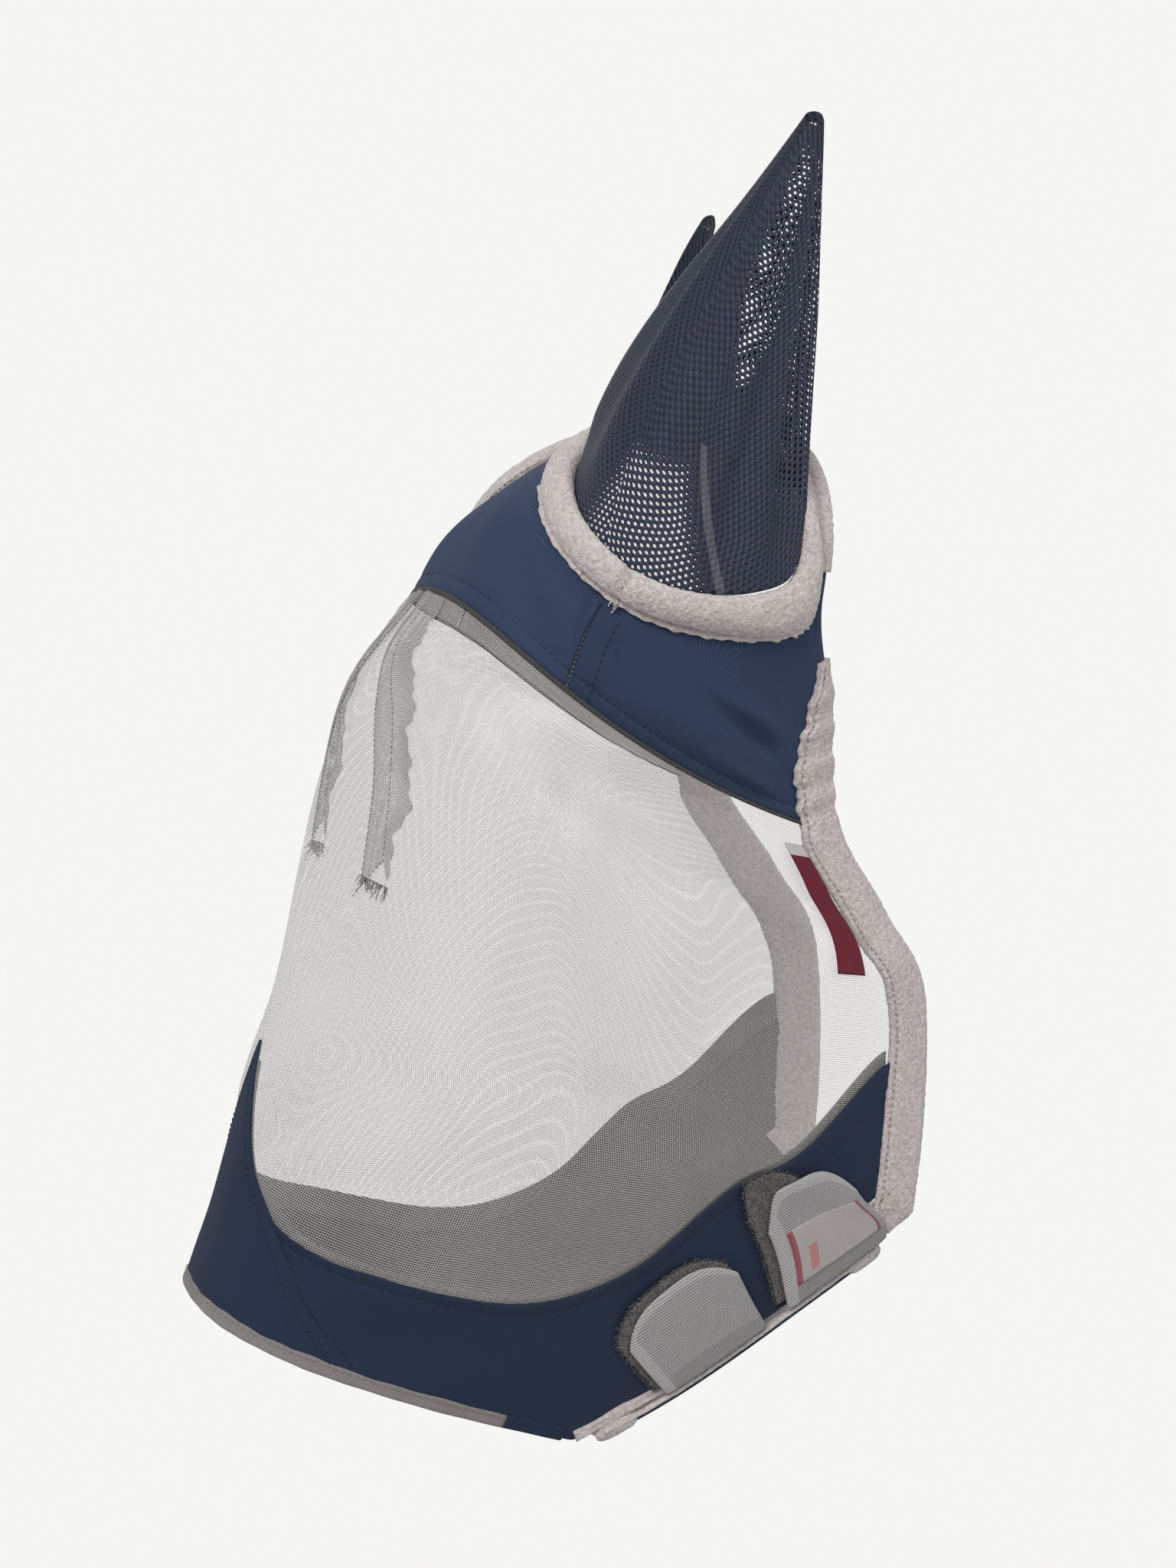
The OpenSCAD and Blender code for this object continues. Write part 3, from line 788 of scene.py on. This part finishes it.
for side, hand in hands:
    def collar_place(a, b):
        form = around(collar_form, 9 * (a if side < 0 else -a))
        k = 12 * b
        join = bell(((k - 0.62 + 6) % 12) - 6, 0.09)
        f, d = form[:, 0], form[:, 1] * (1 - 0.22 * join)
        f = f + 0.008 * np.sin(2.1 * k + 1) * (f > 0.9) - 0.02 * join * (f - 0.86)
        f = lerp(f, f - 0.03, bell(d - 0.0032, 0.0011) * (f > 0.93))
        q = hole_edge(k, f, side)
        return on(q, d)

    fleece_roll("ear_collar_" + hand, lay(56, 440, collar_place, roll=True, ring=True), 0.7,
                "ear_ring_" + hand)

    def flange_place(a, b):
        k = 12 * b
        ruffle = np.sin(31 * k) * 0.004 + np.sin(13.3 * k + 1) * 0.005
        f = 0.97 + a * (0.068 + ruffle)
        q = hole_edge(k, f, side)
        d = 0.0019 + a * (0.0003 + 0.0008 * np.sin(22 * k + 2) * np.sin(5.3 * k))
        return on(q, d)

    flange = keep("ear_collar_" + hand + "_edge", lay(4, 420, flange_place, ring=True), fleece)
    thicken(flange, 0.0009)
    fasten(flange, "mask", "fleece")
    k = np.linspace(0, 12, 400)
    q = hole_edge(k, np.full(400, 0.992), side)
    rows = [seam(q, 0.0048)]
    k = np.linspace(0, 1, 30)
    f, d = lerp(0.78, 0.99, k), 0.0036 + 0.0082 * np.sin(math.pi * (0.42 + 0.55 * k))
    rows.append(seam(hole_edge(0.62 + 0 * k, f, side), d))
    sew("ear_collar_" + hand + "_stitches", rows, thread_pale, "fleece")
    k = 0.62 + np.linspace(-0.04, 0.05, 12)
    q = hole_edge(k, np.linspace(0.98, 1.02, 12), side)
    ways = unit(skin(q[:, 0] + 0.1, q[:, 1]) - skin(q[:, 0], q[:, 1]))
    tuft("ear_collar_" + hand + "_fray", on(q, 0.002), ways, fleece, "fleece", long=0.006,
         thick=0.0006, seed=5)


def squarish(a, x_power, z_power):
    """the section of a flattened roll, a running round it"""
    c, s = np.cos(2 * math.pi * a), np.sin(2 * math.pi * a)
    return np.sign(c) * np.abs(c) ** x_power, np.sign(s) * np.abs(s) ** z_power


def fold_place(u, v, inward, wide, high, deep, a, lip=0.002, ripple=0.0, lift=0.0):
    """a point of a folded strip round an edge at (u, v): a runs round its section"""
    x, z = squarish(a, 0.62, 0.72)
    reach_in = wide + ripple
    flat = lerp(-lip - 0.4 * ripple, reach_in, (1 - x) / 2)
    thin = 1 - 0.62 * bell(flat - (reach_in - 0.0028), 0.0009) - 0.25 * (flat > reach_in - 0.002)
    up = np.where(z > 0, z * high * thin + lift * (z > 0), z * (deep + high))
    edge = at(u, v, up)
    return edge + inward * flat[:, None]


def inward_of(u, v, du, dv):
    """the unit way across the cloth from its edge, square to the edge"""
    step = skin(u + du[0], v + dv[0]) - skin(u, v)
    run = unit(skin(u + du[1], v + dv[1]) - skin(u - du[1], v - dv[1]))
    return unit(step - (step * run).sum(-1, keepdims=True) * run)


rear_from, rear_to = 0.55, 7.06


def rear_gathers(u):
    """how wide the rear binding is, and how its elastic ripples it"""
    gather = smooth((3.0 - u) / 0.5) * smooth((u - 0.5) / 0.4)
    ripple = gather * (0.0010 * np.sin(13.5 * u) + 0.0006 * np.sin(31 * u + 1))
    taper = 0.36 + 0.64 * np.clip((u - rear_from) / 1.2, 0, 1)
    wide = (0.0205 + 0.0025 * smooth((u - 3) / 2)) * taper
    return wide, ripple + 0.0005 * np.sin(7 * u), gather


for side, hand in hands:
    def rear_place(a, b):
        u = lerp(rear_from, rear_to, b)
        v = np.full_like(u, float(side))
        wide, ripple, gather = rear_gathers(u)
        lift = gather * 0.0006 * np.sin(13.5 * u + 1.3)
        run = a if side < 0 else 1 - a
        return fold_place(u, v, inward_of(u, v, (0, 0.02), (-0.02 * side, 0)), wide,
                          0.0026, 0.0012, run, lip=0.003, ripple=ripple, lift=lift)

    fleece_roll("rear_fleece_" + hand, lay(50, 400, rear_place, roll=True), 0.3,
                "rear_binding_" + hand)
    u = np.linspace(rear_from + 0.05, rear_to - 0.05, 330)
    v = np.full_like(u, float(side))
    inward = inward_of(u, v, (0, 0.02), (-0.02 * side, 0))
    wide, ripple, gather = rear_gathers(u)
    line = at(u, v, 0.0015) + inward * (wide + ripple - 0.0028)[:, None]
    sew("rear_fleece_" + hand + "_stitches", [(line, out(u, v))], thread_pale, "fleece")


def poll_place(a, b):
    v = lerp(-0.87, 0.87, b)
    u = np.zeros_like(v)
    return fold_place(u, v, inward_of(u, v, (0.02, 0), (0, 0.02)), 0.0088, 0.0024, 0.0012, a)


fleece_roll("poll_fleece", lay(34, 210, poll_place, roll=True), 0.3, "poll_binding")

# ---- Ears ----
# Tall pointed sleeves of navy sports net with round holes in slanting rows, cut in two
# halves and seamed, sewn inside the collars. They stand but soften and fold.
ear_tips = {-1: np.array((0.164, -0.070, 0.214)), 1: np.array((0.176, 0.080, 0.184))}
ear_bows = {-1: np.array((-0.008, 0, 0.004)), 1: np.array((0.026, 0, -0.008))}
hole_pitch, hole_wide = 0.0032, 0.00082


def ear_net_finish():
    made, root, spot = start_finish("ear_net")
    x, y = lengths_of(root)
    c, s = math.cos(math.radians(24)), math.sin(math.radians(24))
    p, q = (x * c + y * s) / hole_pitch, (y * c - x * s) / (hole_pitch * 0.8660)
    rings = []
    for shift in (0.0, 0.5):
        dx = ((p + shift).maths("PINGPONG", 0.5)) * hole_pitch
        dy = ((q * 0.5 + shift).maths("PINGPONG", 0.5)) * (hole_pitch * 1.732)
        rings.append((dx * dx + dy * dy).maths("SQRT"))
    nearest = rings[0].maths("MINIMUM", rings[1])
    turn, high = lengths_of(root, "share")

    def gap(middle):
        """distance round the sleeve from a share of its turn"""
        return ((turn + (0.5 - middle)).maths("FRACT") - 0.5).maths("ABSOLUTE")

    # the sleeve is two layers: light comes through only where their holes line up
    front = (0.135 - high * 0.25 - gap(0.055)) * 30.0
    front = front.maths("MINIMUM", (0.29 - high) * 25.0)
    middle = ((high * 0.45 - 0.19).maths("MINIMUM", 0.085) - gap(0.16)) * 30.0
    rear = ((0.095 - gap(0.36)) * 30.0).maths("MINIMUM", (high + turn - 0.5) * 12.0)
    far = ((0.17 - gap(0.62)) * 20.0).maths("MINIMUM", (high - 0.06) * 12.0)
    through = middle.maths("MAXIMUM", rear).maths("MINIMUM", (0.97 - high) * 20.0)
    through = through.maths("MINIMUM", 1.0).maths("MAXIMUM", far.maths("MINIMUM", 1.3))
    through = through * (high < 0.965)
    rough_edge = (grain(root, spot, 1500) - 0.5) * 0.0005
    solid = nearest > rough_edge + hole_wide * through
    arc = ((0.145 - high * 0.25 - gap(0.06)).maths("ABSOLUTE") < 0.007) * (high < 0.33)
    strands = grain(root, spot, 700, 2)
    cloudy = grain(root, spot, 40, 2)
    # painted shade: holes that are not cut are painted near black, as the shaded inside of the
    # sleeve seen through them
    tone_with_painted_holes = root.mix((nearest / 0.0016) * 0.8 + strands * 0.3 + cloudy * 0.3 - 0.5,
                   (0.005, 0.008, 0.020, 1), (0.036, 0.052, 0.108, 1))
    tone_with_painted_holes = root.mix(arc * (turn < 0.25) * (turn > 0.06) * 0.55, tone_with_painted_holes, (0.16, 0.155, 0.18, 1))
    # painted light: the holes low on the front are painted pale, as bright light seen through
    # them
    pale = nearest < (rough_edge + hole_wide * 0.9) * front.maths("MINIMUM", 1.0)
    tone_with_painted_holes = root.mix(pale, tone_with_painted_holes, (0.85, 0.84, 0.83, 1))
    end_finish(root, tone_with_painted_holes, 0.5, height=nearest / 0.0016 + strands * 0.35, depth=0.0008,
               alpha=solid, sheen=0.1, shine=0.4)
    return made


ear_net = ear_net_finish()


def ear_base(k, f, d, side):
    return on(hole_edge(k, np.full_like(k, f), side), d)


for side, hand in hands:
    base_mid = ear_base(np.arange(40) * 0.3, 0.69, 0.007, side).mean(0)
    tip, bow = ear_tips[side], ear_bows[side]
    power = 1.25 if side < 0 else 0.8

    def ear_place(a, b):
        k = 12 * a
        skirt = ear_base(k, 0.745, 0.001, side)
        foot = ear_base(k, 0.735, 0.007, side)
        h = np.clip((b - 0.05) / 0.95, 0, 1)[:, None]
        centre = base_mid + (tip - base_mid) * h + bow * 4 * h * (1 - h) ** 2
        size = 1 - 0.91 * h ** power
        offset = (foot - base_mid) * size
        offset[:, 1] *= 1 - 0.30 * smooth(h[:, 0] / 0.9)
        turn = 2 * math.pi * a
        crease = (0.0022 * np.sin(5 * turn + 1.4 + 2.2 * h[:, 0])
                  + 0.0014 * np.sin(9 * turn - 3 * h[:, 0]))
        crease = crease * smooth(h[:, 0] / 0.12) * smooth((1.02 - h[:, 0]) / 0.5)
        long_fold = -0.0045 * bell(turn - 1.15 - 0.4 * h[:, 0], 0.17) * bell(h[:, 0] - 0.18, 0.22)
        full = centre + offset + unit(offset) * (crease + long_fold)[:, None]
        return np.where(b[:, None] < 0.05, lerp(skirt, foot, b[:, None] / 0.05), full)

    bm = lay(150, 130, ear_place, ring=True)
    if side > 0:
        bmesh.ops.reverse_faces(bm, faces=bm.faces)
    sleeve = keep("ear_sleeve_" + hand, bm, ear_net)
    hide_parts("ear_" + hand)
    up = unit(tip - base_mid)
    tuple(base_mid - 0.004 * up)
    tuple(base_mid + 0.035 * up)
    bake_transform(sleeve)

# ---- Nose hem ----
# Greige twill tape folded over the lower edge and sewn through. Two navy keepers close
# its ends at the corners, beside the jaw opening.
tape, root, spot = start_finish("hem_twill")
x, y = lengths_of(root)
slant = ridges(x + y * 1.2, 0.0017)
tone = root.mix(slant * 0.5 + 0.5, (0.22, 0.20, 0.19, 1), (0.42, 0.385, 0.375, 1))
end_finish(root, root.mix(grain(root, spot, 60) * 0.4, tone, (0.52, 0.48, 0.465, 1)), 0.8,
           height=slant, depth=0.0003, sheen=0.1)


def hem_strip(name, start, stop, rows, wide, high, finish, slot, node):
    def place(a, b):
        v = lerp(start, stop, b)
        u = np.full_like(v, 10.0)
        wave = 0.0002 * np.sin(70 * v) + 0.0003 * np.sin(23 * v + 1)
        return fold_place(u, v, inward_of(u, v, (-0.02, 0), (0, 0.02)), wide, high, 0.0026,
                          1 - a, lip=0.0012, ripple=wave)

    strip = keep(name, lay(26, rows, place, roll=True), finish)
    fasten(strip, "mask", slot, node)
    return strip


hem_wide, keeper_wide = 0.0054, 0.0062
hem = hem_strip("hem_twill_tape", -0.893, 0.893, 260, hem_wide, 0.0010, tape, "hem_tape",
                "hem_tape")
for side, hand in hands:
    ends = sorted((side * 0.892, side * 0.982))
    hem_strip("hem_" + hand + "_keeper", *ends, 24, keeper_wide, 0.0013, navy_painted_shade,
              "navy_cloth", "hem_keeper_" + hand)
v = np.linspace(-0.885, 0.885, 300)
u = np.full_like(v, 10.0)
line = at(u, v, 0.0010) + inward_of(u, v, (-0.02, 0), (0, 0.02)) * 0.0041
sew("hem_stitches", [(line, out(u, v))], thread_pale, "hem_tape", long=0.0022)

# ---- Flap under the jaw ----
# A navy strip lined and edged with fleece. It is sewn to the right cheek, sags under the
# jaw, and closes on the left cheek with two hook tabs.
jaw_line = unit(skin(7, 1) - skin(10, 1))
jaw_down = np.cross([0, 1, 0], jaw_line)


def flap_at(a, b, d):
    a, b, d = np.broadcast_arrays(np.asarray(a, float), np.asarray(b, float), d)
    p = skin(lerp(9.75, 7.2, a), np.ones_like(a))
    p[:, 1] = lerp(-jowl - 0.0015, jowl + 0.0006, b)
    d = d * (1 - 0.9 * smooth((b - 0.92) / 0.08))
    return p + (0.009 * 4 * b * (1 - b) + d)[:, None] * jaw_down


def flap_sway(a, b):
    return 0.0008 * np.sin(9 * a + 1) * np.sin(3.14 * b)


flap_cloth_low, flap_fleece_low, trim_low = 0.0062, 0.0024, 0.0043
flap_cloth = keep("jaw_flap_cloth", lay(
    60, 46, lambda a, b: flap_at(b, a, flap_cloth_low + flap_sway(b, a))), navy_painted_shade)
thicken(flap_cloth, cloth_thick)
bm = lay(70, 60, lambda a, b: flap_at(1 - b, a, flap_fleece_low + flap_sway(1 - b, a)))
raise_pile(bm, high=0.0005)
flap_fleece = keep("jaw_flap_fleece", bm, fleece)
thicken(flap_fleece, 0.0022)
hinge = skin(8.5, 1.0)
for piece, node, slot in ((flap_cloth, "jaw_flap", "navy_cloth"),
                          (flap_fleece, "jaw_fleece", "fleece")):
    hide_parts(node)
    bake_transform(piece)
for edge, way, name in ((0, -1, "front"), (1, 1, "rear")):
    def trim_place(a, b):
        x, z = squarish(a if way < 0 else 1 - a, 0.7, 0.8)
        inner, outer = edge - way * 0.12, edge + way * (0.03 if way < 0 else 0.0)
        wave = 0.006 * np.sin(23 * b + 2 * edge)
        return flap_at(lerp(inner, outer, (1 + x) / 2) + wave, b, trim_low + 0.0038 * z)

    bm = lay(30, 110, trim_place, roll=True)
    raise_pile(bm)
    trim = keep("jaw_trim_" + name, bm, fleece)
    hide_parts("jaw_binding_" + name)
    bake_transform(trim)


def roll_place(a, b):
    u = lerp(8.95, 9.97, b)
    v = np.full_like(u, -1.0)
    return fold_place(u, v, inward_of(u, v, (0, 0.02), (0.02, 0)), 0.0042, 0.0016, 0.002, a,
                      lip=0.0015, ripple=0.0005 * np.sin(14 * u))


bm = lay(22, 60, roll_place, roll=True)
raise_pile(bm, high=0.0004)
roll = keep("jowl_edge_fleece", bm, fleece)
fasten(roll, "mask", "fleece")

# ---- Hook tabs and loop pads ----
# Two D shaped hook tabs come up from the flap over the left cheek and hold on furry loop
# pads. The tab's edge is bound lighter. A strip along its lower edge is painted shade, darker
# where the tape turns down.
front_tab = np.array([(9.15, 0.998), (8.2, 0.998), (7.4, 0.855), (8.5, 0.85)])
rear_tab = np.array([(8, 0.998), (7.1, 0.998), (5.75, 0.905), (6.9, 0.835)])


def quad(corners, x, y):
    low = lerp(corners[0], corners[1], x[..., None])
    high = lerp(corners[3], corners[2], x[..., None])
    return lerp(low, high, y[..., None])


def inset(corners, a, b, low, high):
    x, y = np.array((a, b, b, a), float), np.array((low, low, high, high), float)
    return quad(corners, x, y)


def patch_place(corners, bend, d, plump=0.0):
    def place(a, b):
        x = 1 - a
        y = b * (1 - bend * np.abs(2 * x - 1) ** 3)
        q = quad(corners, x, y)
        rise = plump * (1 - (2 * x - 1) ** 8) * (1 - b ** 8)
        return on(q * (1, -1), d + rise)
    return place


loop_pile, root, spot = start_finish("loop_pile")
curls = grain(root, spot, 900, 3)
end_finish(root, root.mix((curls - 0.3) * 2.2, (0.035, 0.033, 0.034, 1),
                          (0.23, 0.22, 0.215, 1)), 0.95, height=curls, depth=0.001,
           sheen=0.3, shine=0.1)
hook_tape, root, spot = start_finish("hook_tape")
x, y = lengths_of(root)
sx, sy = lengths_of(root, "share")
rib = ridges(y, 0.0016)
fine = grain(root, spot, 1400, 2)
tone = root.mix((rib * 0.5 + 0.5) * 0.35 + fine * 0.35, (0.34, 0.332, 0.332, 1),
                (0.54, 0.53, 0.53, 1))
# painted shade: the lower strip is darker, standing for the face of the tape that bends down away
# from the light
fold_painted_shade = sy < 0.2
rim = (sx > 0.9).maths("MAXIMUM", sy > 0.93)
tone = root.mix(fold_painted_shade * 0.45, tone, (0.26, 0.255, 0.255, 1))
tone = root.mix(rim * 0.6, tone, (0.60, 0.59, 0.59, 1))
end_finish(root, tone, 0.85, height=rib + fine * 0.8, depth=0.0003, sheen=0.1)

tab_round, pad_high, tab_high = 0.3, 0.0017, 0.0034
tab_in = (0.02, 1, 0, 0.97)
for name, corners, pad_in, pad_flat, pad_area, tab_flat in (
        ("front", front_tab, (-0.03, 0.97, 0.06, 1.045), (0.078, 0.056), 0.0034, (0.079, 0.056)),
        ("rear", rear_tab, (-0.05, 0.64, 0.08, 1.10), (0.067, 0.075), 0.0030, (0.079, 0.071))):
    bm = lay(60, 50, patch_place(inset(corners, *pad_in), tab_round, pad_high))
    raise_pile(bm, high=0.0009, scale=700)
    pad = keep("loop_pad_" + name + "_pile", bm, loop_pile)
    thicken(pad, 0.0014)
    fasten(pad, "mask", "loop_pile", "loop_pad_" + name)
    t = np.linspace(0, 1, 130)
    x, y = np.concatenate([0 * t, t]), np.concatenate([t, 0 * t + 1])
    y = y * (1 - tab_round * np.abs(2 * x - 1) ** 3)
    q = quad(inset(corners, *pad_in), x, y)
    mid = quad(inset(corners, *pad_in), 0 * x + 0.5, 0 * y + 0.4)
    roots = at(q[:, 0], -q[:, 1], 0.001)
    ways = unit(roots - at(mid[:, 0], -mid[:, 1], 0.001)) * 0.6 + out(q[:, 0], -q[:, 1]) * 0.5
    tuft("loop_pad_" + name + "_fur", roots, unit(ways), loop_pile, "loop_pile", long=0.003,
         thick=0.00028, seed=11)
    tab = keep("hook_tab_" + name + "_tape", lay(
        60, 48, patch_place(inset(corners, *tab_in), tab_round + 0.02, tab_high, 0.0007)),
        hook_tape)
    thicken(tab, 0.0015)
    fasten(tab, name + "_tab", "hook_tape", "hook_tab_" + name)

# ---- Labels ----
# A crimson woven label with a pale end hangs from the left rear binding. A pale care label
# with crimson edges is sewn on the rear tab. Both are blank.
label_high, care_high = 0.0029, 0.0053
label_box = np.array([(5, 0.89), (4.95, 0.924), (3.36, 0.924), (3.42, 0.894)])
crimson, root, spot = start_finish("crimson_satin")
y, sy = lengths_of(root)[1], lengths_of(root, "share")[1]
satin = ridges(y, 0.0007)
tone = root.mix(satin * 0.25 + grain(root, spot, 60) * 0.4, (0.17, 0.009, 0.026, 1),
                (0.30, 0.018, 0.05, 1))
tone = root.mix(sy > 0.9, tone, (0.78, 0.76, 0.75, 1))
end_finish(root, tone, 0.45, height=satin, depth=0.0001, shine=0.4)
side_label = keep("side_label_satin", lay(
    10, 40, patch_place(label_box, 0, label_high, 0.0002)), crimson)
thicken(side_label, label_thick)
fasten(side_label, "label_flap", "crimson_label", "side_label")

pale, root, spot = start_finish("pale_label")
x, y = lengths_of(root)
sx, sy = lengths_of(root, "share")
weave = ridges(y, 0.0006)
edging = (sx < 0.05).maths("MAXIMUM", sx > 0.95)
bar = ((sx > 0.78) * (sx < 0.86)) * ((sy > 0.12) * (sy < 0.6))
tone = root.mix(weave * 0.3 + 0.3, (0.50, 0.46, 0.45, 1), (0.62, 0.585, 0.575, 1))
tone = root.mix(bar, tone, (0.62, 0.28, 0.29, 1))
tone = root.mix(edging * 0.85, tone, (0.38, 0.05, 0.075, 1))
end_finish(root, tone, 0.6, height=weave, depth=0.0001)
care_label = keep("tab_care_label", lay(30, 24, patch_place(
    inset(rear_tab, 0.12, 0.92, 0.16, 0.6), 0, care_high, 0.0002)), pale)
thicken(care_label, label_thick)
fasten(care_label, "rear_tab", "pale_label", "tab_label")

# ---- Seam strips ----
# A narrow ribbed facing inside the net covers the raw edge of each band seam.
facing, root, spot = start_finish("grey_facing")
x, y = lengths_of(root)
rib = ridges(y, 0.0015)
end_finish(root, root.mix(rib * 0.5 + 0.5, (0.14, 0.135, 0.13, 1), (0.26, 0.25, 0.24, 1)),
           0.85, height=rib, depth=0.0003)
facing_deep = 0.003
for side, hand in hands:
    def facing_place(a, b):
        t = lerp(0.25, 0.945, b if side > 0 else 1 - b)
        edge = along(net_edge, 14 * t)
        low = np.stack([edge[:, 0] - 0.02, edge[:, 1]], -1)
        q = lerp(low, np.stack([3.02 + 0 * t, t], -1), (0.064 * a - 0.052)[:, None])
        return on(q * (1, side), -facing_deep)

    strip = keep("seam_facing_" + hand, lay(6, 160, facing_place), facing)
    thicken(strip, 0.0006)
    fasten(strip, "mask", "grey_seam", "seam_strip_" + hand)
